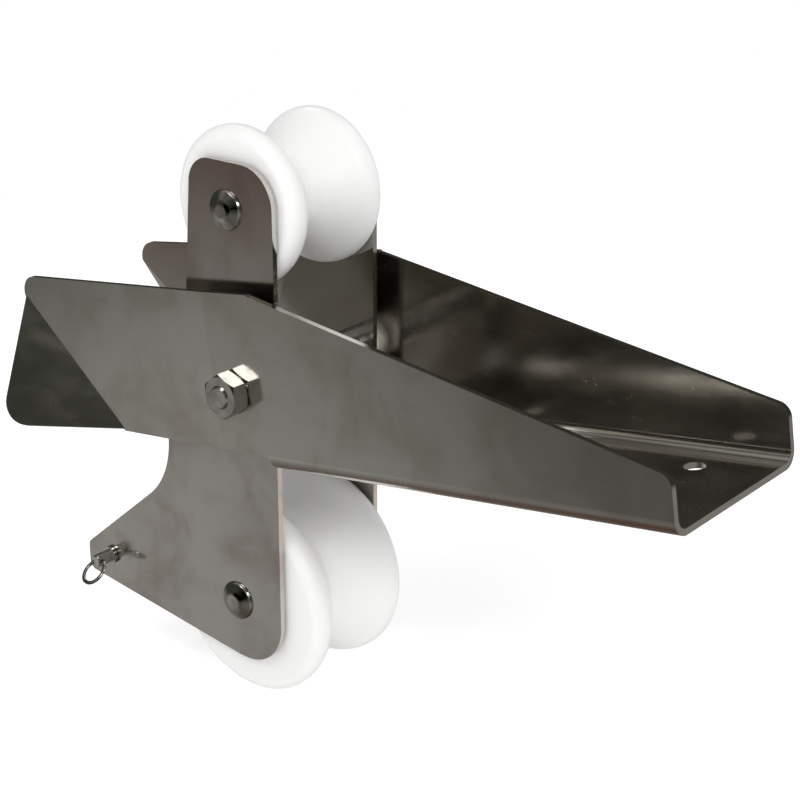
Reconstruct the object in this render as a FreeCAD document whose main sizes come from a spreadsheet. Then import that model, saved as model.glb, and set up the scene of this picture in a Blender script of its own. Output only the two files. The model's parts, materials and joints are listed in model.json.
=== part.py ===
import FreeCAD, Part
import math
import os
import re
import Sketcher
from FreeCAD import Placement, Rotation, Vector

# A hinged bow roller for a small boat: a bent-sheet trough that bolts to the foredeck, and a
# rocker with two nylon rollers that tips on one bolt between the trough's side walls.
#
# Millimetres. +X points inboard (aft), +Y to starboard, +Z up. The origin is the middle of the
# four deck bolt holes, on the underside of the trough. Pieces of the rocker are drawn round the
# pivot with the rocker upright, and are then tipped to the angle at which it hangs.

SIZES = [
    # name, value, what it is
    ("gauge", 2.5, "thickness of the stainless sheet"),
    ("trough_width", 84, "outer width of the trough"),
    ("wall_height", 75, "height of the side walls at the bow"),
    ("end_height", 23, "height of the side walls at the inboard end"),
    ("inboard_end", 80, "x of the trough's inboard end"),
    ("slope_start", -114, "x where the walls start to slope down towards the inboard end"),
    ("floor_front", -112, "x where the floor ends, which leaves the rocker room to swing"),
    ("bow_end", -265, "x of the side walls' front edges, measured flat"),
    ("bend_radius", 4.5, "inside radius of the long bends"),
    ("toe_start", -139, "x where the side walls start to close in towards the bow"),
    ("toe_in", 2, "angle by which the side walls close in"),
    ("flare_angle", 36, "angle by which the front corners are bent outwards"),
    ("flare_height", 66, "height where the flare's bend line meets the front edge"),
    ("flare_reach", 4, "how far the flare's lower corner is cut ahead of the wall's front edge"),
    ("flare_drop", 3, "how far that corner is cut below the wall's bottom edge"),
    ("flare_foot", -205, "x where the flare's bend line meets the bottom edge"),
    ("end_corner", 6, "corner radius at the inboard end"),
    ("bow_top_radius", 8, "radius of the upper corners at the bow"),
    ("bow_foot_radius", 12, "radius of the lower corners at the bow"),
    ("deck_hole", 9, "diameter of the deck bolt holes"),
    ("deck_pitch_long", 100, "spacing of the deck bolt holes along the trough"),
    ("deck_pitch_wide", 42, "spacing of the deck bolt holes across the trough"),
    ("pivot_along", -127.5, "x of the pivot"),
    ("pivot_up", 33, "z of the pivot"),
    ("rocker_tilt", 9, "lean of the rocker, top towards inboard"),
    ("rocker_width", 64, "outer width over the two rocker plates"),
    ("edge_behind", 14.5, "from the pivot to the plates' straight inboard edge"),
    ("rollers_ahead", 11.5, "from the pivot forward to the line through the roller axles"),
    ("upper_axle_up", 73.5, "from the pivot up to the upper roller's axle"),
    ("lower_axle_down", 104.5, "from the pivot down to the lower roller's axle"),
    ("ear_ahead", 32, "from the pivot forward to the plates' front edge at their top"),
    ("neck_ahead", 37.5, "from the pivot forward to their front edge where it starts to widen"),
    ("ear_top", 20.3, "from the upper axle to the top edge of the plates"),
    ("waist_ahead", 52.5, "from the pivot forward to the plates' front edge below the trough"),
    ("waist_start", 29, "height above the pivot where the front edge starts to widen"),
    ("waist_down", 28, "depth below the pivot where the front edge is at its full width"),
    ("throat_down", 57.5, "depth below the pivot where the foot starts to slope forward"),
    ("toe_ahead", 112.5, "from the pivot forward to the tip of the foot"),
    ("toe_top", 108.5, "depth below the pivot of the tip's upper corner"),
    ("toe_bottom", 122, "depth below the pivot of the tip's lower corner"),
    ("heel_down", 131.5, "depth below the pivot of the plates' lower edge at the rollers"),
    ("pin_ahead", 96, "from the pivot forward to the retaining pin"),
    ("pin_down", 110, "from the pivot down to the retaining pin"),
    ("throat_radius", 40, "radius of the hollow curve above the foot"),
    ("toe_radius", 4, "corner radius at the tip of the foot"),
    ("ear_front_radius", 12, "radius of the upper front corner of the plates"),
    ("ear_back_radius", 17, "radius of the upper inboard corner of the plates"),
    ("heel_radius", 22, "radius of the lower inboard corner of the plates"),
    ("upper_roller_diameter", 68, "diameter of the upper roller over its rims"),
    ("lower_roller_diameter", 90, "diameter of the lower roller over its rims"),
    ("roller_length", 56.4, "length of the rollers"),
    ("groove_depth", 16.5, "depth of the groove below the rims"),
    ("groove_flat", 5, "width of the bottom of the groove"),
    ("rim_width", 8.7, "width of the rims"),
    ("rim_outer_radius", 5, "rounding of a rim's outer corner"),
    ("rim_inner_radius", 8, "rounding of a rim's inner corner"),
    ("groove_radius", 5.2, "rounding at the bottom of the groove"),
    ("bore_chamfer", 1, "chamfer at the ends of the rollers' bores"),
    ("axle_diameter", 16, "diameter of the tubular axles and of the pivot sleeve"),
    ("running_gap", 0.08, "radial clearance of every running fit"),
    ("washer_thick", 1, "thickness of the rollers' thrust washers"),
    ("washer_diameter", 26, "diameter of the rollers' thrust washers"),
    ("bolt_diameter", 10, "diameter of the pivot bolt and of the axle screws"),
    ("bolt_hole", 10.5, "diameter of the plain bolt holes"),
    ("thread_gap", 0.05, "radial gap between a bolt and its nut or tapped bore"),
    ("hex_width", 17, "width across the flats of the bolt head and the nut"),
    ("hex_bevel", 1.4, "height of the bevel on the corners of the hexagons"),
    ("head_height", 6.4, "height of the pivot bolt's head"),
    ("nut_height", 8, "height of the nut"),
    ("nut_face_rise", 0.6, "rise of the round face under the nut"),
    ("nut_face_wide", 15.5, "diameter of the round face under the nut"),
    ("bolt_end", 0.8, "length of bolt that shows past the nut"),
    ("plate_washer", 2, "thickness of the washer under the bolt head"),
    ("plate_washer_wide", 20, "diameter of that washer"),
    ("spacer_diameter", 18, "diameter of the side spacers"),
    ("spacer_gap", 0.3, "end clearance of the side spacers"),
    ("screw_head", 17.5, "diameter of the axle screws' button heads"),
    ("screw_head_rise", 3.2, "height of the axle screws' button heads"),
    ("screw_length", 16, "length of the axle screws under the head"),
    ("screw_point", 0.5, "chamfer at the end of the axle screws"),
    ("crown_width", 8, "diameter of the flat top of a button head"),
    ("crown_radius", 6, "rounding round that flat top"),
    ("shoulder_height", 0.9, "height of the straight rim of a button head"),
    ("shoulder_radius", 1.2, "rounding above that rim"),
    ("socket_width", 5, "width across the flats of the socket in a button head"),
    ("socket_depth", 2, "depth of the socket in a button head"),
    ("pin_diameter", 6, "diameter of the retaining pin"),
    ("pin_nose", 4, "length of pin that shows past the starboard plate"),
    ("pin_edge", 0.8, "bevel at the end of the pin's tab"),
    ("collar_diameter", 8.5, "diameter of the collar that stops the pin at the port plate"),
    ("collar_thick", 1.5, "thickness of that collar"),
    ("tab_thick", 3.2, "thickness of the flat tab outside the collar"),
    ("tab_past_eye", 2.4, "length of the tab beyond the middle of its eye"),
    ("eye_out", 7.5, "from the port plate out to the middle of the eye"),
    ("eye_drop", 0.4, "drop of the eye below the pin's axis"),
    ("eye_hole", 2.6, "diameter of the eye"),
    ("ring_radius", 6, "radius of the pull ring, to the middle of its wire"),
    ("ring_wire", 1.7, "diameter of the pull ring's wire"),
    ("ring_lift", 50, "angle by which the stiff ring stands out from hanging straight down"),
]

doc = FreeCAD.newDocument("bow_roller")
sizes = doc.addObject("Spreadsheet::Sheet", "sizes")
for row, (name, value, meaning) in enumerate(SIZES, start=1):
    sizes.set(f"A{row}", meaning)
    sizes.set(f"B{row}", str(value))
    sizes.setAlias(f"B{row}", name)
doc.recompute()

PARTS = []


def cell(text):
    """An expression on the sheet: every name in the text is one of its aliases."""
    return re.sub(r"[a-z][a-z_]*", r"sizes.\g<0>", text)


def number(text):
    """The value of such an expression."""
    return float(sizes.evalExpression(cell(text)))


# ---------------------------------------------------------------- helpers for bodies and sketches

def new_body(label, placement=None):
    """A body for one sub-part, listed for export."""
    body = doc.addObject("PartDesign::Body", label)
    body.Label = label
    if placement:
        body.Placement = placement
    PARTS.append(body)
    return body


def plane_of(body, role):
    """One of the body's own origin planes or axes."""
    return next(item for item in body.Origin.OriginFeatures if item.Role == role)


def new_sketch(body, name, plane, offset="0"):
    """A sketch on an origin plane, moved along the plane's normal."""
    sketch = body.newObject("Sketcher::SketchObject", name)
    sketch.AttachmentSupport = [(plane_of(body, plane), "")]
    sketch.MapMode = "FlatFace"
    sketch.setExpression("AttachmentOffset.Base.z", cell(offset))
    return sketch


def bind_point(sketch, geometry, position, across, up):
    """Ties a point's two coordinates to expressions."""
    for kind, text in (("DistanceX", across), ("DistanceY", up)):
        constraint = Sketcher.Constraint(kind, -1, 1, geometry, position, number(text))
        index = sketch.addConstraint(constraint)
        sketch.setExpression(f"Constraints[{index}]", cell(text))


def add_polygon(sketch, corners):
    """A closed outline of straight lines, each corner a pair of expressions."""
    first = sketch.GeometryCount
    count = len(corners)
    points = [Vector(number(across), number(up), 0) for across, up in corners]
    for index in range(count):
        sketch.addGeometry(Part.LineSegment(points[index], points[(index + 1) % count]), False)
    for index in range(count):
        following = first + (index + 1) % count
        sketch.addConstraint(Sketcher.Constraint("Coincident", first + index, 2, following, 1))
        bind_point(sketch, first + index, 1, *corners[index])


def add_circle(sketch, across, up, diameter):
    """A circle with its centre and diameter tied to expressions."""
    centre = Vector(number(across), number(up), 0)
    circle = Part.Circle(centre, Vector(0, 0, 1), number(diameter) / 2)
    geometry = sketch.addGeometry(circle, False)
    bind_point(sketch, geometry, 3, across, up)
    index = sketch.addConstraint(Sketcher.Constraint("Diameter", geometry, number(diameter)))
    sketch.setExpression(f"Constraints[{index}]", cell(diameter))


def hexagon(width):
    """The corners of a hexagon round the origin, from its width across the flats."""
    half_side = f"{width} * {1 / (2 * math.sqrt(3)):.9f}"
    corner = f"{width} * {1 / math.sqrt(3):.9f}"
    half = f"{width} / 2"
    return [(half, half_side), ("0", corner), (f"0 - {half}", half_side),
            (f"0 - {half}", f"0 - {half_side}"), ("0", f"0 - {corner}"), (half, f"0 - {half_side}")]


def pad(body, sketch, length, name="pad", reverse=False, midplane=False):
    feature = body.newObject("PartDesign::Pad", name)
    feature.Profile = sketch
    feature.setExpression("Length", cell(length))
    feature.Reversed = reverse
    feature.Midplane = midplane
    doc.recompute()
    return feature


def cut_through(body, sketch, name="cut"):
    """A cut through the whole body, both ways from the sketch; it must remove something."""
    before = body.Shape.Volume
    feature = body.newObject("PartDesign::Pocket", name)
    feature.Profile = sketch
    feature.Type = "ThroughAll"
    feature.Midplane = True
    doc.recompute()
    if not body.Shape.Volume < before:
        raise RuntimeError(f"{body.Label}: {name} removes nothing")
    return feature


def pocket(body, sketch, depth, reverse, name="pocket"):
    """A blind cut; it must remove something."""
    before = body.Shape.Volume
    feature = body.newObject("PartDesign::Pocket", name)
    feature.Profile = sketch
    feature.setExpression("Length", cell(depth))
    feature.Reversed = reverse
    doc.recompute()
    if not body.Shape.Volume < before:
        raise RuntimeError(f"{body.Label}: {name} removes nothing")
    return feature


def revolve(body, sketch, kind="PartDesign::Revolution", name="turned"):
    """Turns a sketch of the XY plane round the Y axis."""
    feature = body.newObject(kind, name)
    feature.Profile = sketch
    feature.ReferenceAxis = (sketch, ["V_Axis"])
    feature.Angle = 360
    doc.recompute()
    return feature


def edges_where(feature, test):
    """The names of the edges whose middle point passes the test."""
    names = []
    for index, edge in enumerate(feature.Shape.Edges, start=1):
        middle = edge.valueAt((edge.FirstParameter + edge.LastParameter) / 2)
        if test(edge, middle):
            names.append(f"Edge{index}")
    if not names:
        raise RuntimeError(f"{feature.Label}: no edge to round")
    return names


def round_edges(body, base, radius, test, name, kind="PartDesign::Fillet"):
    """A fillet (or a chamfer) on the chosen edges of the last feature."""
    names = edges_where(base, test)
    feature = body.newObject(kind, name)
    feature.Base = (base, names)
    feature.setExpression("Size" if kind == "PartDesign::Chamfer" else "Radius", cell(radius))
    doc.recompute()
    return feature


def near(value, text, slack=0.05):
    return abs(value - number(text)) < slack


def ring_at(radius, along):
    """Picks the circles of one radius round the Y axis, at a distance along it either way."""
    def test(edge, middle):
        return near(math.hypot(middle.x, middle.z), radius) and near(abs(middle.y), along)
    return test


def at_corner(across, up):
    """Picks the edges that run through the sheet at one corner of an outline on the XZ plane."""
    def test(edge, middle):
        return near(middle.x, across) and near(middle.z, up)
    return test


def turned(label, outline, placement=None):
    """A body turned from one outline: each corner is (radius, y)."""
    body = new_body(label, placement)
    sketch = new_sketch(body, f"{label}_outline", "XY_Plane")
    add_polygon(sketch, outline)
    revolve(body, sketch)
    return body


def tube(label, inner, outer, low, high, placement=None):
    """A plain ring or tube along Y, between two values of y."""
    outline = [(f"{inner} / 2", low), (f"{outer} / 2", low), (f"{outer} / 2", high), (f"{inner} / 2", high)]
    return turned(label, outline, placement)


# ---------------------------------------------------------------- places

def at_pivot():
    return Placement(Vector(number("pivot_along"), 0, number("pivot_up")), Rotation())


def on_rocker(ahead="0", up="0"):
    """A place on the tipped rocker, from the pivot."""
    tipped = Rotation(Vector(0, 1, 0), number("rocker_tilt"))
    rocker = Placement(Vector(number("pivot_along"), 0, number("pivot_up")), tipped)
    return rocker.multiply(Placement(Vector(-number(ahead), 0, number(up)), Rotation()))


UPPER_AXLE = ("rollers_ahead", "upper_axle_up")
LOWER_AXLE = ("rollers_ahead", "0 - lower_axle_down")
PIN_PLACE = ("pin_ahead", "0 - pin_down")


# ---------------------------------------------------------------- the trough

def toe_offset():
    """Turns a sketch on the port wall inwards about the toe-in's upright bend, on the outer face."""
    bend = Vector(number("toe_start"), 0, number("trough_width / 2"))
    inwards = Rotation(Vector(0, 1, 0), -number("toe_in"))
    return Placement(bend, inwards).multiply(Placement(-bend, Rotation()))


def bow_offset():
    """The inner face of the port wall ahead of the toe-in's bend."""
    to_wall = Placement(Vector(0, 0, number("trough_width / 2 - gauge")), Rotation())
    return toe_offset().multiply(to_wall)


def flare_offset():
    """Turns that face outwards about the flare's slanting bend."""
    foot = Vector(number("flare_foot"), number("bend_radius + gauge"), 0)
    front = Vector(number("bow_end"), number("flare_height"), 0)
    bend = Rotation(front - foot, number("flare_angle"))
    return bow_offset().multiply(Placement(Vector(), bend, foot))


def make_trough():
    """One bent sheet: floor, two side walls, and front corners bent outwards along a slant."""
    body = new_body("trough")
    half = "trough_width / 2"
    inner = "trough_width / 2 - gauge"
    foot = "bend_radius + gauge"

    channel = new_sketch(body, "channel_section", "YZ_Plane", "floor_front")
    add_polygon(channel, [(f"0 - {half}", "0"), (half, "0"), (half, "wall_height"), (inner, "wall_height"),
                          (inner, "gauge"), (f"0 - ({inner})", "gauge"), (f"0 - ({inner})", "wall_height"),
                          (f"0 - {half}", "wall_height")])
    last = pad(body, channel, "inboard_end - floor_front", "channel")

    def outer_bend(edge, middle):
        return near(abs(middle.y), half) and near(middle.z, "0")

    def inner_bend(edge, middle):
        return near(abs(middle.y), inner) and near(middle.z, "gauge")

    last = round_edges(body, last, foot, outer_bend, "outer_bends")
    last = round_edges(body, last, "bend_radius", inner_bend, "inner_bends")

    slope = new_sketch(body, "slope_outline", "XZ_Plane")
    add_polygon(slope, [("slope_start", "wall_height"), ("inboard_end", "end_height"),
                        ("inboard_end + gauge", "end_height"), ("inboard_end + gauge", "wall_height + gauge"),
                        ("slope_start", "wall_height + gauge")])
    last = cut_through(body, slope, "slope")
    last = round_edges(body, last, "end_corner", at_corner("inboard_end", "end_height"), "end_corners")

    cheek = new_sketch(body, "cheek_outline", "XZ_Plane", inner)
    add_polygon(cheek, [("floor_front", "wall_height"), ("toe_start", "wall_height"),
                        ("toe_start", foot), ("floor_front", foot)])
    pads = [pad(body, cheek, "gauge", "cheek")]

    outlines = [("bow_wall", bow_offset(), [("toe_start", "wall_height"), ("bow_end", "wall_height"),
                                            ("bow_end", "flare_height"), ("flare_foot", foot),
                                            ("toe_start", foot)]),
                ("flare", flare_offset(), [("bow_end", "flare_height"),
                                           ("bow_end - flare_reach", f"{foot} - flare_drop"),
                                           ("flare_foot", foot)])]
    for name, offset, corners in outlines:
        sketch = new_sketch(body, f"{name}_outline", "XZ_Plane")
        sketch.setExpression("AttachmentOffset.Base.z", None)
        sketch.AttachmentOffset = offset
        add_polygon(sketch, corners)
        pads.append(pad(body, sketch, "gauge", name))

    other_side = body.newObject("PartDesign::Mirrored", "other_side")
    other_side.Originals = pads
    other_side.MirrorPlane = (plane_of(body, "XZ_Plane"), [""])
    body.Tip = other_side
    doc.recompute()

    def bow_corner(lowest, highest):
        def test(edge, middle):
            at_bow = middle.x < number("flare_foot - 2 * bow_foot_radius")
            return at_bow and near(edge.Length, "gauge") and number(lowest) < middle.z < number(highest)
        return test

    top_corner = bow_corner("(flare_height + wall_height) / 2", "wall_height + gauge")
    foot_corner = bow_corner("0 - gauge", "pivot_up")
    last = round_edges(body, other_side, "bow_top_radius", top_corner, "bow_top_corners")
    round_edges(body, last, "bow_foot_radius", foot_corner, "bow_foot_corners")

    pivot_holes = new_sketch(body, "pivot_holes_outline", "XZ_Plane")
    add_circle(pivot_holes, "pivot_along", "pivot_up", "bolt_hole")
    cut_through(body, pivot_holes, "pivot_holes")

    deck_holes = new_sketch(body, "deck_holes_outline", "XY_Plane")
    for along in ("deck_pitch_long / 2", "0 - deck_pitch_long / 2"):
        for across in ("deck_pitch_wide / 2", "0 - deck_pitch_wide / 2"):
            add_circle(deck_holes, along, across, "deck_hole")
    cut_through(body, deck_holes, "deck_holes")


# ---------------------------------------------------------------- the rocker

def make_rocker_plate(label, side):
    """One of the two plates that carry the rollers: an ear at each axle and a foot at the bow side."""
    body = new_body(label, on_rocker())
    inner = "rocker_width / 2 - gauge"
    offset = inner if side < 0 else "0 - rocker_width / 2"
    top = "upper_axle_up + ear_top"
    heel = "0 - heel_down"
    outline = [("edge_behind", top), ("0 - ear_ahead", top), ("0 - neck_ahead", "waist_start"),
               ("0 - waist_ahead", "0 - waist_down"), ("0 - waist_ahead", "0 - throat_down"),
               ("0 - toe_ahead", "0 - toe_top"), ("0 - toe_ahead", "0 - toe_bottom"),
               ("0 - rollers_ahead", heel), ("edge_behind", heel)]
    sketch = new_sketch(body, f"{label}_outline", "XZ_Plane", offset)
    add_polygon(sketch, outline)
    last = pad(body, sketch, "gauge")

    corner_radii = [("ear_back_radius", [0]), ("ear_front_radius", [1]), ("throat_radius", [4]),
                    ("toe_radius", [5, 6]), ("heel_radius", [8])]
    for radius, corners in corner_radii:
        for index in corners:
            last = round_edges(body, last, radius, at_corner(*outline[index]), f"{radius}_{index}")

    holes = new_sketch(body, f"{label}_holes", "XZ_Plane")
    add_circle(holes, "0", "0", "bolt_diameter + 2 * running_gap")
    add_circle(holes, "0 - rollers_ahead", "upper_axle_up", "bolt_hole")
    add_circle(holes, "0 - rollers_ahead", "0 - lower_axle_down", "bolt_hole")
    add_circle(holes, "0 - pin_ahead", "0 - pin_down", "pin_diameter + 2 * running_gap")
    cut_through(body, holes, "holes")


def make_pivot_sleeve():
    """The tube that keeps the plates apart and turns on the pivot bolt."""
    inner = "rocker_width / 2 - gauge"
    tube("pivot_sleeve", "(bolt_diameter + 2 * running_gap)", "axle_diameter", f"0 - ({inner})", inner,
         on_rocker())


def make_axle(label, place):
    """A tube between the plates, tapped for a screw at each end."""
    inner = "rocker_width / 2 - gauge"
    tube(label, "(bolt_diameter + 2 * thread_gap)", "axle_diameter", f"0 - ({inner})", inner,
         on_rocker(*place))


def make_axle_screw(label, place, side):
    """A button-head screw with a hexagon socket, from outside a plate into the axle."""
    placement = on_rocker(*place)
    if side < 0:
        placement = placement.multiply(Placement(Vector(), Rotation(Vector(0, 0, 1), 180)))
    body = new_body(label, placement)
    face = "rocker_width / 2"
    tip = f"{face} - screw_length"
    shoulder_y = f"{face} + shoulder_height"
    crown_y = f"{face} + screw_head_rise"
    sketch = new_sketch(body, f"{label}_outline", "XY_Plane")
    add_polygon(sketch, [("0", tip), ("bolt_diameter / 2 - screw_point", tip),
                         ("bolt_diameter / 2", f"{tip} + screw_point"), ("bolt_diameter / 2", face),
                         ("screw_head / 2", face), ("screw_head / 2", shoulder_y),
                         ("crown_width / 2", crown_y), ("0", crown_y)])
    last = revolve(body, sketch)
    last = round_edges(body, last, "crown_radius", ring_at("crown_width / 2", crown_y), "crown")
    last = round_edges(body, last, "shoulder_radius", ring_at("screw_head / 2", shoulder_y), "shoulder")

    socket = new_sketch(body, f"{label}_socket", "XZ_Plane", f"0 - {face} - screw_head_rise")
    add_polygon(socket, hexagon("socket_width"))
    pocket(body, socket, "socket_depth", False, "socket")


def make_thrust_washer(label, place, side):
    """A thin nylon washer between a roller's end and the plate."""
    inner = "rocker_width / 2 - gauge"
    low, high = (f"{inner} - washer_thick", inner)
    if side < 0:
        low, high = (f"0 - ({inner})", f"washer_thick - ({inner})")
    tube(label, "(axle_diameter + 4 * running_gap)", "washer_diameter", low, high, on_rocker(*place))


def make_roller(label, place, diameter):
    """A nylon spool: two rounded rims with a V-shaped groove for the chain between them."""
    body = new_body(label, on_rocker(*place))
    bore = "axle_diameter / 2 + running_gap"
    end = "roller_length / 2"
    rim = f"{diameter} / 2"
    rim_start = "roller_length / 2 - rim_width"
    groove = f"{diameter} / 2 - groove_depth"
    sketch = new_sketch(body, f"{label}_outline", "XY_Plane")
    outline = [(bore, f"0 - {end}"), (rim, f"0 - {end}"), (rim, f"0 - ({rim_start})"),
               (groove, "0 - groove_flat / 2"), (groove, "groove_flat / 2"), (rim, rim_start), (rim, end),
               (bore, end)]
    add_polygon(sketch, outline)
    last = revolve(body, sketch)

    last = round_edges(body, last, "rim_outer_radius", ring_at(rim, end), "rim_outside")
    last = round_edges(body, last, "rim_inner_radius", ring_at(rim, rim_start), "rim_inside")
    last = round_edges(body, last, "groove_radius", ring_at(groove, "groove_flat / 2"), "groove_bottom")
    round_edges(body, last, "bore_chamfer", ring_at(bore, end), "bore_ends", "PartDesign::Chamfer")


# ---------------------------------------------------------------- the pivot's fasteners

def bevel_hexagon(body, face, inwards):
    """Takes the corners off a hexagon at one face; inwards is the sign of y into the metal."""
    corner = f"hex_width * {1 / math.sqrt(3):.9f}"
    sketch = new_sketch(body, f"{body.Label}_bevel", "XY_Plane")
    add_polygon(sketch, [("hex_width / 2", face), (f"{corner} + hex_bevel", face),
                         (f"{corner} + hex_bevel", f"{face} {inwards} hex_bevel")])
    revolve(body, sketch, "PartDesign::Groove", "bevel")


def make_pivot_bolt():
    """A hexagon bolt through both walls and the rocker, with its head on the starboard side."""
    body = new_body("pivot_bolt", at_pivot())
    under_head = "trough_width / 2 + plate_washer"
    head_face = f"{under_head} + head_height"
    shank_end = "0 - trough_width / 2 - nut_height - bolt_end"
    shank = new_sketch(body, "shank_outline", "XY_Plane")
    add_polygon(shank, [("0", shank_end), ("bolt_diameter / 2 - bolt_end", shank_end),
                        ("bolt_diameter / 2", f"{shank_end} + bolt_end"), ("bolt_diameter / 2", under_head),
                        ("0", under_head)])
    revolve(body, shank, name="shank")
    head = new_sketch(body, "head_outline", "XZ_Plane", f"0 - ({under_head})")
    add_polygon(head, hexagon("hex_width"))
    pad(body, head, "head_height", "head", reverse=True)
    bevel_hexagon(body, head_face, "-")


def make_pivot_nut():
    """The hexagon nut on the port end of the pivot bolt, tight on the trough's wall."""
    body = new_body("pivot_nut", at_pivot())
    inner_face = "trough_width / 2"
    under_hexagon = f"{inner_face} + nut_face_rise"
    sketch = new_sketch(body, "nut_outline", "XZ_Plane", under_hexagon)
    add_polygon(sketch, hexagon("hex_width"))
    pad(body, sketch, "nut_height - nut_face_rise", "hexagon")
    face = new_sketch(body, "nut_face_outline", "XZ_Plane", inner_face)
    add_circle(face, "0", "0", "nut_face_wide")
    pad(body, face, "nut_face_rise", "bearing_face")
    bore = new_sketch(body, "nut_bore", "XZ_Plane")
    add_circle(bore, "0", "0", "bolt_diameter + 2 * thread_gap")
    cut_through(body, bore, "bore")
    bevel_hexagon(body, f"0 - {inner_face} - nut_height", "+")
    bevel_hexagon(body, f"0 - ({under_hexagon})", "-")


def make_pivot_washer():
    """A washer between the starboard wall and the bolt head."""
    tube("pivot_washer", "bolt_hole", "plate_washer_wide", "trough_width / 2",
         "trough_width / 2 + plate_washer", at_pivot())


def make_side_spacer(label, side):
    """A ring on the bolt that keeps the rocker in the middle of the trough."""
    near_face = "rocker_width / 2 + spacer_gap"
    far_face = "trough_width / 2 - gauge"
    low, high = (near_face, far_face) if side > 0 else (f"0 - ({far_face})", f"0 - ({near_face})")
    tube(label, "bolt_hole", "spacer_diameter", low, high, at_pivot())


# ---------------------------------------------------------------- the retaining pin

def eye_place():
    """The middle of the eye in the retaining pin's tab."""
    hole = on_rocker(*PIN_PLACE).Base
    return hole + Vector(0, number("0 - rocker_width / 2 - eye_out"), number("0 - eye_drop"))


def make_retaining_pin():
    """A pin across the tips of the feet, with a collar and a flat tab to port for the pull ring."""
    body = new_body("retaining_pin", Placement(on_rocker(*PIN_PLACE).Base, Rotation()))
    face = "0 - rocker_width / 2 - spacer_gap"
    tab_end = "0 - rocker_width / 2 - eye_out - tab_past_eye"
    nose = "rocker_width / 2 + pin_nose"
    radius = "pin_diameter / 2"
    sketch = new_sketch(body, "pin_outline", "XY_Plane")
    add_polygon(sketch, [("0", tab_end), (f"{radius} - pin_edge", tab_end), (radius, f"{tab_end} + pin_edge"),
                         (radius, f"{face} - collar_thick"), ("collar_diameter / 2", f"{face} - collar_thick"),
                         ("collar_diameter / 2", face), (radius, face), (radius, f"{nose} - {radius} / 2"),
                         (f"{radius} / 2", nose), ("0", nose)])
    revolve(body, sketch)

    flats = new_sketch(body, "flats_outline", "XY_Plane")
    for side in ("", "0 - "):
        add_polygon(flats, [(f"{side}tab_thick / 2", f"{tab_end} - pin_edge"),
                            (f"{side}collar_diameter", f"{tab_end} - pin_edge"),
                            (f"{side}collar_diameter", f"{face} - collar_thick"),
                            (f"{side}tab_thick / 2", f"{face} - collar_thick")])
    cut_through(body, flats, "flats")

    eye = new_sketch(body, "eye_outline", "YZ_Plane")
    add_circle(eye, "0 - rocker_width / 2 - eye_out", "0 - eye_drop", "eye_hole")
    cut_through(body, eye, "eye")


def make_pull_ring():
    """The ring through the pin's eye, standing out a little as a stiff ring does."""
    ring = doc.addObject("Part::Torus", "pull_ring")
    ring.Label = "pull_ring"
    ring.setExpression("Radius1", cell("ring_radius"))
    ring.setExpression("Radius2", cell("ring_wire / 2"))
    swing = Rotation(Vector(1, 0, 0), -number("ring_lift"))
    middle = eye_place() + swing.multVec(Vector(0, 0, -number("ring_radius")))
    ring.Placement = Placement(middle, swing.multiply(Rotation(Vector(1, 0, 0), 90)))
    PARTS.append(ring)


# ---------------------------------------------------------------- assembly and export

SIDES = (("port", -1), ("starboard", 1))

make_trough()
for side_name, side in SIDES:
    make_rocker_plate(f"rocker_plate_{side_name}", side)
    make_side_spacer(f"side_spacer_{side_name}", side)
make_pivot_bolt()
make_pivot_washer()
make_pivot_nut()
make_pivot_sleeve()
for axle_name, place in (("upper", UPPER_AXLE), ("lower", LOWER_AXLE)):
    make_axle(f"{axle_name}_axle", place)
    make_roller(f"{axle_name}_roller", place, f"{axle_name}_roller_diameter")
    for side_name, side in SIDES:
        make_axle_screw(f"{axle_name}_axle_screw_{side_name}", place, side)
        make_thrust_washer(f"{axle_name}_thrust_washer_{side_name}", place, side)
make_retaining_pin()
make_pull_ring()
doc.recompute()

for item in doc.Objects:
    if "Invalid" in item.State or "Error" in item.State:
        raise RuntimeError(f"{item.Label} did not recompute: {item.State}")
for item in PARTS:
    if item.Shape.isNull() or not item.Shape.isValid() or len(item.Shape.Solids) != 1:
        raise RuntimeError(f"{item.Label} is not one valid solid")

os.makedirs("parts", exist_ok=True)
for item in PARTS:
    item.Shape.exportStep(f"parts/{item.Label}.step")
    print(f"{item.Label:32s} {item.Shape.Volume:12.1f} mm3")
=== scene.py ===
import json
import math

import bmesh
import bpy
from mathutils import Matrix, Vector


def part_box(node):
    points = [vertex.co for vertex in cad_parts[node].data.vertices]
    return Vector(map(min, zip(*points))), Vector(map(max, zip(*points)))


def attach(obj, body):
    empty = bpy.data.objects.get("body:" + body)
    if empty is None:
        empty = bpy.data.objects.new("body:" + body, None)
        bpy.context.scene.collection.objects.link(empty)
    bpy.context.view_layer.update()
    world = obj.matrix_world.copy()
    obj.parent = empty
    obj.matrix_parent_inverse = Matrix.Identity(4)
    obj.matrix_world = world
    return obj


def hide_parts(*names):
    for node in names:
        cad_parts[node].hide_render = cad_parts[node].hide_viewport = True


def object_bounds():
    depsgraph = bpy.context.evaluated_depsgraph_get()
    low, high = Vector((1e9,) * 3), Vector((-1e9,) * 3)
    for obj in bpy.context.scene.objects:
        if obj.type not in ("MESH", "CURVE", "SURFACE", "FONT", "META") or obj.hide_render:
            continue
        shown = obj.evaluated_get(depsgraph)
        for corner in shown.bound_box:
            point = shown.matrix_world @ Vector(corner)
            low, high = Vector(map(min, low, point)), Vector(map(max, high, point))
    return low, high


# The looks of a hinged bow roller: polished stainless sheet, white nylon rollers and bright
# fasteners, in a pale studio. Metres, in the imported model's frame: +X inboard, +Y to starboard,
# +Z up.

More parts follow.
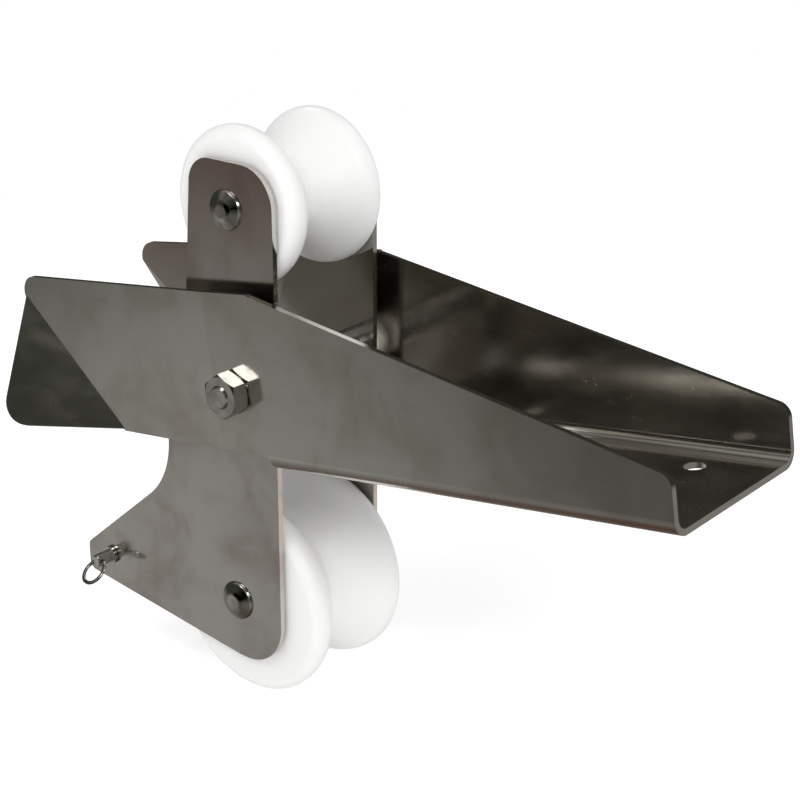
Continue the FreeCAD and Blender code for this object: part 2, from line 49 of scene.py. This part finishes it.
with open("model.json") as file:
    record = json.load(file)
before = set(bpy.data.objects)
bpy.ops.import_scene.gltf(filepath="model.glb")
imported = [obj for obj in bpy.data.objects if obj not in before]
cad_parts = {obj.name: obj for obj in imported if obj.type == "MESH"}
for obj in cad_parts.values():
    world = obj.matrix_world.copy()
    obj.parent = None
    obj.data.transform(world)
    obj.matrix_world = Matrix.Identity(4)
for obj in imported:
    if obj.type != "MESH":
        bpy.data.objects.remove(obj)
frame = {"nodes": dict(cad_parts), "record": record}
cad_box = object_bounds()
nodes = frame["nodes"]
joints = {joint["name"]: joint for joint in frame["record"]["behaviour"]["joints"]}

MM = 0.001
NYLON_IOR = 1.53

# The sockets of a Mix node in its colour mode; it has others for numbers and vectors.
MIX_FIRST = 6
MIX_SECOND = 7
MIX_RESULT = 2

# The studio, laid out round a point near the middle of the model.
MIDDLE = (-0.09, 0, 0)
FLOOR_HALF_WIDTH = 1.6
FLOOR_GAP = 0.3 * MM
WHITE = (1.0, 1.0, 1.0, 1.0)
SOFT_LIGHT = 0.78
SEEN_LIGHT = 1.0

# What the steel mirrors, as red, green and blue light: an even part, a part that grows from the
# horizon to this many degrees below it, and round patches. A patch is its azimuth from +X towards
# +Y, its elevation, the angle from its middle within which it is full, the angle at which it has
# faded out, and its light. Negative light is shade.
MIRRORED_EVENLY = (0.033, 0.034, 0.026)
MIRRORED_BELOW = (0.235, 0.232, 0.227)
FULL_BELOW = 22
MIRRORED_PATCHES = (
    (253, -18, 4, 36, (-0.165, -0.163, -0.159)),  # shade, low to port
    (220, -19, 1, 14, (0.12, 0.12, 0.118)),  # low, between the bow and port
    (226, -2, 2, 12, (0.06, 0.02, 0.015)),  # reddish, at the horizon between the bow and port
    (222, 36, 3, 14, (0.30, 0.27, 0.24)),  # warm, high between the bow and port
    (0, 90, 10, 45, (0.4, 0.4, 0.4)),  # overhead
    (53, -40, 4, 18, (0.60, 0.55, 0.48)),  # warm, low between inboard and starboard
    (0, -90, 20, 60, (-0.17, -0.215, -0.215)),  # shade, straight below
)


# ---------------------------------------------------------------- node helpers

class Nodes:
    """A node tree, with short calls for the nodes that it is built from."""

    def __init__(self, tree):
        self.tree = tree

    def node(self, kind, **settings):
        made = self.tree.nodes.new(kind)
        for name, value in settings.items():
            setattr(made, name, value)
        return made

    def feed(self, source, socket):
        """Links an output, or sets a plain value."""
        if isinstance(source, bpy.types.NodeSocket):
            self.tree.links.new(source, socket)
        else:
            socket.default_value = source

    def levels(self, source, low, high, to_low=0.0, to_high=1.0):
        """Maps a range of values onto another, smoothly and without going past its ends."""
        mapped = self.node("ShaderNodeMapRange", interpolation_type="SMOOTHSTEP")
        self.feed(source, mapped.inputs["Value"])
        for name, value in (("From Min", low), ("From Max", high), ("To Min", to_low), ("To Max", to_high)):
            mapped.inputs[name].default_value = value
        return mapped.outputs["Result"]

    def vector(self, operation, first, second, result="Vector"):
        """Combines two vectors."""
        made = self.node("ShaderNodeVectorMath", operation=operation)
        self.feed(first, made.inputs[0])
        self.feed(second, made.inputs[1])
        return made.outputs[result]

    def scaled(self, vector, amount):
        made = self.node("ShaderNodeVectorMath", operation="SCALE")
        self.feed(vector, made.inputs[0])
        self.feed(amount, made.inputs["Scale"])
        return made.outputs["Vector"]

    def parts(self, vector):
        """A node whose outputs are the vector's X, Y and Z."""
        made = self.node("ShaderNodeSeparateXYZ")
        self.feed(vector, made.inputs["Vector"])
        return made


class Shader(Nodes):
    """A material's node tree."""

    def __init__(self, name):
        self.material = bpy.data.materials.new(name)
        self.material.use_nodes = True
        super().__init__(self.material.node_tree)
        self.surface = self.tree.nodes["Principled BSDF"]
        self.place = self.node("ShaderNodeTexCoord").outputs["Object"]

    def stretched(self, scale, turn=(0, 0, 0)):
        """Object coordinates, turned by degrees and then scaled along each axis."""
        mapping = self.node("ShaderNodeMapping")
        self.feed(self.place, mapping.inputs["Vector"])
        mapping.inputs["Rotation"].default_value = [math.radians(angle) for angle in turn]
        mapping.inputs["Scale"].default_value = scale
        return mapping.outputs["Vector"]

    def noise(self, scale, place=None, detail=4.0, rough=0.5, warp=0.0):
        noise = self.node("ShaderNodeTexNoise")
        self.feed(place or self.place, noise.inputs["Vector"])
        noise.inputs["Scale"].default_value = scale
        noise.inputs["Detail"].default_value = detail
        noise.inputs["Roughness"].default_value = rough
        noise.inputs["Distortion"].default_value = warp
        return noise.outputs["Fac"]

    def math(self, operation, first, second=0.0):
        made = self.node("ShaderNodeMath", operation=operation)
        self.feed(first, made.inputs[0])
        self.feed(second, made.inputs[1])
        return made.outputs["Value"]

    def mix(self, factor, first, second):
        """A colour between two."""
        made = self.node("ShaderNodeMix", data_type="RGBA")
        self.feed(factor, made.inputs["Factor"])
        self.feed((*first, 1.0), made.inputs[MIX_FIRST])
        self.feed((*second, 1.0), made.inputs[MIX_SECOND])
        return made.outputs[MIX_RESULT]

    def bump(self, height, depth, strength, under=None):
        """Relief of a height in metres, on top of the relief under it."""
        made = self.node("ShaderNodeBump")
        made.inputs["Strength"].default_value = strength
        made.inputs["Distance"].default_value = depth
        self.feed(height, made.inputs["Height"])
        if under:
            self.feed(under, made.inputs["Normal"])
        return made.outputs["Normal"]

    def finish(self, colour, roughness, normal=None, **constants):
        self.feed(colour, self.surface.inputs["Base Color"])
        self.feed(roughness, self.surface.inputs["Roughness"])
        if normal:
            self.feed(normal, self.surface.inputs["Normal"])
        for name, value in constants.items():
            self.surface.inputs[name.replace("_", " ")].default_value = value
        return self.material


# ---------------------------------------------------------------- materials

def darker(colour, share):
    return [value * share for value in colour]


def sheet_steel(name, plain, stained, grain_turn=(0, 0, 0)):
    """Polished stainless sheet: faint rolling grain, cloudy handling marks and hair scratches."""
    grain_depth = 0.003 * MM
    scratch_depth = 0.01 * MM
    wave_depth = 0.6 * MM
    steel = Shader(name)
    grain = steel.noise(1.0, steel.stretched((60, 2600, 2600), grain_turn), detail=3.0)
    clouds = steel.noise(26.0, detail=5.0, rough=0.55, warp=0.4)
    smears = steel.noise(52.0, steel.stretched((0.6, 1, 1.6), (0, 25, 0)), detail=6.0, rough=0.62)
    specks = steel.noise(900.0, detail=2.0)
    scratch = steel.noise(1.0, steel.stretched((30, 700, 1500), (0, 37, 0)), detail=2.0, rough=0.4)
    waves = steel.noise(14.0, detail=1.0)
    colour = steel.mix(steel.levels(clouds, 0.42, 0.72), plain, stained)
    roughness = steel.math("ADD", steel.levels(clouds, 0.3, 0.7, 0.10, 0.17),
                           steel.levels(smears, 0.4, 0.75, 0.0, 0.07))
    roughness = steel.math("ADD", roughness, steel.levels(specks, 0.66, 0.76, 0.0, 0.10))
    relief = steel.bump(grain, grain_depth, 0.4)
    relief = steel.bump(steel.levels(scratch, 0.72, 0.78), scratch_depth, 0.3, relief)
    relief = steel.bump(waves, wave_depth, 0.25, relief)
    return steel.finish(colour, roughness, relief, Metallic=1.0)


def turned_steel(name, colour, smoothest=0.16):
    """Bright machined stainless, with fine tool marks and a few rubbed patches."""
    mark_depth = 0.01 * MM
    rubbed_share = 0.78
    rubbed_roughness = smoothest + 0.12
    steel = Shader(name)
    marks = steel.noise(1.0, steel.stretched((900, 5200, 900)), detail=2.0)
    rubbed = steel.noise(160.0, detail=4.0, rough=0.6)
    tint = steel.mix(steel.levels(rubbed, 0.4, 0.7), colour, darker(colour, rubbed_share))
    roughness = steel.levels(rubbed, 0.35, 0.7, smoothest, rubbed_roughness)
    return steel.finish(tint, roughness, steel.bump(marks, mark_depth, 0.4), Metallic=1.0)


def turned_nylon(name, colour, soiled, centre):
    """White nylon turned on a lathe: faint rings round its axle, scuffs, and a satin skin."""
    ring_depth = 0.02 * MM
    dent_depth = 0.08 * MM
    nylon = Shader(name)
    parts = nylon.parts(nylon.vector("SUBTRACT", nylon.place, centre))
    across = nylon.math("MULTIPLY", parts.outputs["X"], parts.outputs["X"])
    up = nylon.math("MULTIPLY", parts.outputs["Z"], parts.outputs["Z"])
    radius = nylon.math("SQRT", nylon.math("ADD", across, up))
    lathe = nylon.node("ShaderNodeCombineXYZ")
    nylon.feed(radius, lathe.inputs["X"])
    nylon.feed(parts.outputs["Y"], lathe.inputs["Y"])
    rings = nylon.noise(2300.0, lathe.outputs["Vector"], detail=2.0)
    scuffs = nylon.noise(70.0, detail=6.0, rough=0.65)
    dents = nylon.noise(260.0, detail=3.0)
    base = nylon.mix(nylon.levels(scuffs, 0.52, 0.78, 0.0, 0.35), colour, soiled)
    roughness = nylon.math("ADD", nylon.levels(scuffs, 0.35, 0.75, 0.34, 0.46),
                           nylon.levels(rings, 0.3, 0.7, 0.0, 0.06))
    relief = nylon.bump(rings, ring_depth, 0.35)
    relief = nylon.bump(dents, dent_depth, 0.25, relief)
    return nylon.finish(base, roughness, relief, Subsurface_Weight=0.25, Subsurface_Scale=2 * MM,
                        Subsurface_Radius=(1.0, 0.9, 0.8), IOR=NYLON_IOR)


def plain_nylon(name, colour):
    """Thin pressed nylon washers and spacers, a little uneven."""
    mottle_depth = 0.04 * MM
    mottled_share = 0.86
    nylon = Shader(name)
    mottle = nylon.noise(240.0, detail=4.0)
    base = nylon.mix(nylon.levels(mottle, 0.4, 0.7), colour, darker(colour, mottled_share))
    roughness = nylon.levels(mottle, 0.3, 0.7, 0.4, 0.52)
    return nylon.finish(base, roughness, nylon.bump(mottle, mottle_depth, 0.4), IOR=NYLON_IOR)


def give(piece, material):
    """Puts one material on every slot of a piece."""
    if not piece.material_slots:
        piece.data.materials.append(material)
    for slot in piece.material_slots:
        slot.link = "OBJECT"
        slot.material = material


def dress_cad_nodes():
    """Gives every CAD node the finish of its record slot, and returns the finishes by slot."""
    upright_grain = (0, 80, 0)
    finishes = {
        "trough_steel": sheet_steel("trough_steel", (0.64, 0.62, 0.575), (0.54, 0.505, 0.455)),
        "rocker_steel": sheet_steel("rocker_steel", (0.64, 0.62, 0.585), (0.52, 0.44, 0.41), upright_grain),
        "fastener_steel": turned_steel("fastener_steel", (0.62, 0.60, 0.57)),
        "pin_steel": turned_steel("pin_steel", (0.70, 0.68, 0.65), smoothest=0.10),
        "washer_nylon": plain_nylon("washer_nylon", (0.80, 0.79, 0.74)),
    }
    for subpart in frame["record"]["subparts"]:
        name = subpart["node"]
        slot = subpart["material_slot"]
        if slot == "roller_nylon":
            centre = joints[f"{name}_spin"]["pos_m"]
            finish = turned_nylon(f"{name}_nylon", (0.88, 0.88, 0.87), (0.80, 0.78, 0.71), centre)
        else:
            finish = finishes[slot]
        give(nodes[name], finish)
    return finishes


# ---------------------------------------------------------------- pieces made here

def skin(mesh, sections):
    """Joins a row of closed sections into a tube with flat ends."""
    sides = len(sections[0])
    for first, second in zip(sections, sections[1:]):
        for step in range(sides):
            after = (step + 1) % sides
            mesh.faces.new((first[step], first[after], second[after], second[step]))
    mesh.faces.new(reversed(sections[0]))
    mesh.faces.new(sections[-1])
    bmesh.ops.recalc_face_normals(mesh, faces=mesh.faces)


def make_split_ring(material):
    """The pull ring as it really is: two close turns of flat wire, wound, with cut ends."""
    turns = 2
    steps = 48
    sides = 12
    start = -math.pi / 3
    thickness_share = 0.32
    pitch_share = 0.66
    low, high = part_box("pull_ring")
    centre = (low + high) / 2
    hang = centre - Vector(joints["ring_swing"]["pos_m"])
    radius = hang.length
    half_wide = (high.x - low.x) / 2 - radius
    half_thick = half_wide * thickness_share
    pitch = half_wide * pitch_share
    down = hang.normalized()
    side = Vector((1, 0, 0))
    across = side.cross(down)
    count = turns * steps
    mesh = bmesh.new()
    sections = []
    for index in range(count + 1):
        turn = 2 * math.pi * index / steps + start
        outwards = side * math.cos(turn) + down * math.sin(turn)
        spot = centre + outwards * radius + across * ((index / count - 0.5) * turns * pitch)
        section = []
        for step in range(sides):
            angle = 2 * math.pi * step / sides
            offset = outwards * half_wide * math.cos(angle) + across * half_thick * math.sin(angle)
            section.append(mesh.verts.new(spot + offset))
        sections.append(section)
    skin(mesh, sections)
    data = bpy.data.meshes.new("split_ring")
    mesh.to_mesh(data)
    mesh.free()
    for face in data.polygons:
        face.use_smooth = True
    ring = bpy.data.objects.new("split_ring", data)
    bpy.context.collection.objects.link(ring)
    give(ring, material)
    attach(ring, "pull_ring")
    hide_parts("pull_ring")


# ---------------------------------------------------------------- studio

def make_floor():
    """A plain pale floor just under the lowest point, which the steel doesn't mirror."""
    shader = Shader("studio_floor")
    grain = shader.noise(40.0, detail=3.0)
    shade = shader.mix(shader.levels(grain, 0.3, 0.7), (0.90, 0.90, 0.90), (0.88, 0.88, 0.88))
    material = shader.finish(shade, 0.9, Specular_IOR_Level=0.1, Emission_Color=WHITE,
                             Emission_Strength=0.35)
    half = FLOOR_HALF_WIDTH
    corners = [(-half, -half, 0), (half, -half, 0), (half, half, 0), (-half, half, 0)]
    data = bpy.data.meshes.new("floor")
    data.from_pydata(corners, [], [(0, 1, 2, 3)])
    data.materials.append(material)
    floor = bpy.data.objects.new("floor", data)
    floor.location = (MIDDLE[0], MIDDLE[1], cad_box[0].z - FLOOR_GAP)
    floor.visible_glossy = False
    bpy.context.collection.objects.link(floor)


def patch(studio, way, azimuth, elevation, inner, outer, light):
    """Light from a round patch in one direction, fading from the inner angle to the outer one."""
    around = math.radians(azimuth)
    above = math.radians(elevation)
    toward = (math.cos(around) * math.cos(above), math.sin(around) * math.cos(above), math.sin(above))
    nearness = studio.vector("DOT_PRODUCT", way, toward, result="Value")
    share = studio.levels(nearness, math.cos(math.radians(outer)), math.cos(math.radians(inner)))
    return studio.scaled(light, share)


def below_horizon(studio, way, light):
    """Light that grows from the horizon downwards, the same all round."""
    height = studio.parts(way).outputs["Z"]
    return studio.scaled(light, studio.levels(height, 0.0, -math.sin(math.radians(FULL_BELOW))))


def mirrored_light(studio):
    """The sum of everything that the steel mirrors."""
    way = studio.node("ShaderNodeTexCoord").outputs["Generated"]
    total = below_horizon(studio, way, MIRRORED_BELOW)
    for values in MIRRORED_PATCHES:
        total = studio.vector("ADD", total, patch(studio, way, *values))
    return studio.vector("ADD", total, MIRRORED_EVENLY)


def make_world():
    """White to the eye, soft white light all round, and darker, warmer surroundings in the steel."""
    world = bpy.data.worlds.new("studio")
    world.use_nodes = True
    bpy.context.scene.world = world
    studio = Nodes(world.node_tree)
    soft = studio.tree.nodes["Background"]
    seen = studio.node("ShaderNodeBackground")
    for background, strength in ((soft, SOFT_LIGHT), (seen, SEEN_LIGHT)):
        background.inputs["Color"].default_value = WHITE
        background.inputs["Strength"].default_value = strength
    mirrored = studio.node("ShaderNodeBackground")
    studio.feed(mirrored_light(studio), mirrored.inputs["Color"])

    ray = studio.node("ShaderNodeLightPath")
    gloss = studio.node("ShaderNodeMixShader")
    studio.feed(ray.outputs["Is Glossy Ray"], gloss.inputs["Fac"])
    studio.feed(soft.outputs["Background"], gloss.inputs[1])
    studio.feed(mirrored.outputs["Background"], gloss.inputs[2])
    final = studio.node("ShaderNodeMixShader")
    studio.feed(ray.outputs["Is Camera Ray"], final.inputs["Fac"])
    studio.feed(gloss.outputs["Shader"], final.inputs[1])
    studio.feed(seen.outputs["Background"], final.inputs[2])
    studio.feed(final.outputs["Shader"], studio.tree.nodes["World Output"].inputs["Surface"])


def add_softbox(name, place, width, watts):
    """A round lamp that faces the middle of the model."""
    data = bpy.data.lights.new(name, "AREA")
    data.shape = "DISK"
    data.size = width
    data.energy = watts
    light = bpy.data.objects.new(name, data)
    light.location = place
    light.rotation_mode = "QUATERNION"
    light.rotation_quaternion = (Vector(MIDDLE) - Vector(place)).to_track_quat("-Z", "Y")
    bpy.context.collection.objects.link(light)


def make_lights():
    add_softbox("key", (-0.9, 0.5, 1.25), width=0.5, watts=1.6)
    add_softbox("front", (-0.2, -0.85, 0.95), width=0.45, watts=1.5)
    add_softbox("fill", (1.2, -0.75, 0.75), width=0.35, watts=6.5)


def make_camera():
    """The photograph's view: a little above the trough and off its inboard port corner."""
    azimuth = math.radians(43.2)
    elevation = math.radians(13.35)
    roll = math.radians(-7.23)
    place = (0.3738, -0.4950, 0.2128)
    back = Vector((math.sin(azimuth) * math.cos(elevation),
                   -math.cos(azimuth) * math.cos(elevation), math.sin(elevation)))
    level = Vector((math.cos(azimuth), math.sin(azimuth), 0))
    upright = back.cross(level)
    right = level * math.cos(roll) + upright * math.sin(roll)
    up = upright * math.cos(roll) - level * math.sin(roll)
    data = bpy.data.cameras.new("camera")
    data.sensor_width = 36
    data.lens = 76.01
    data.shift_x = 0.0491
    data.shift_y = -0.0894
    data.clip_start = 0.05
    camera = bpy.data.objects.new("camera", data)
    turn = Matrix((right, up, back)).transposed()
    camera.matrix_world = Matrix.Translation(place) @ turn.to_4x4()
    bpy.context.collection.objects.link(camera)
    bpy.context.scene.camera = camera


finishes = dress_cad_nodes()
make_split_ring(finishes["pin_steel"])
make_floor()
make_world()
make_lights()
make_camera()
bpy.context.scene.view_settings.view_transform = "Standard"
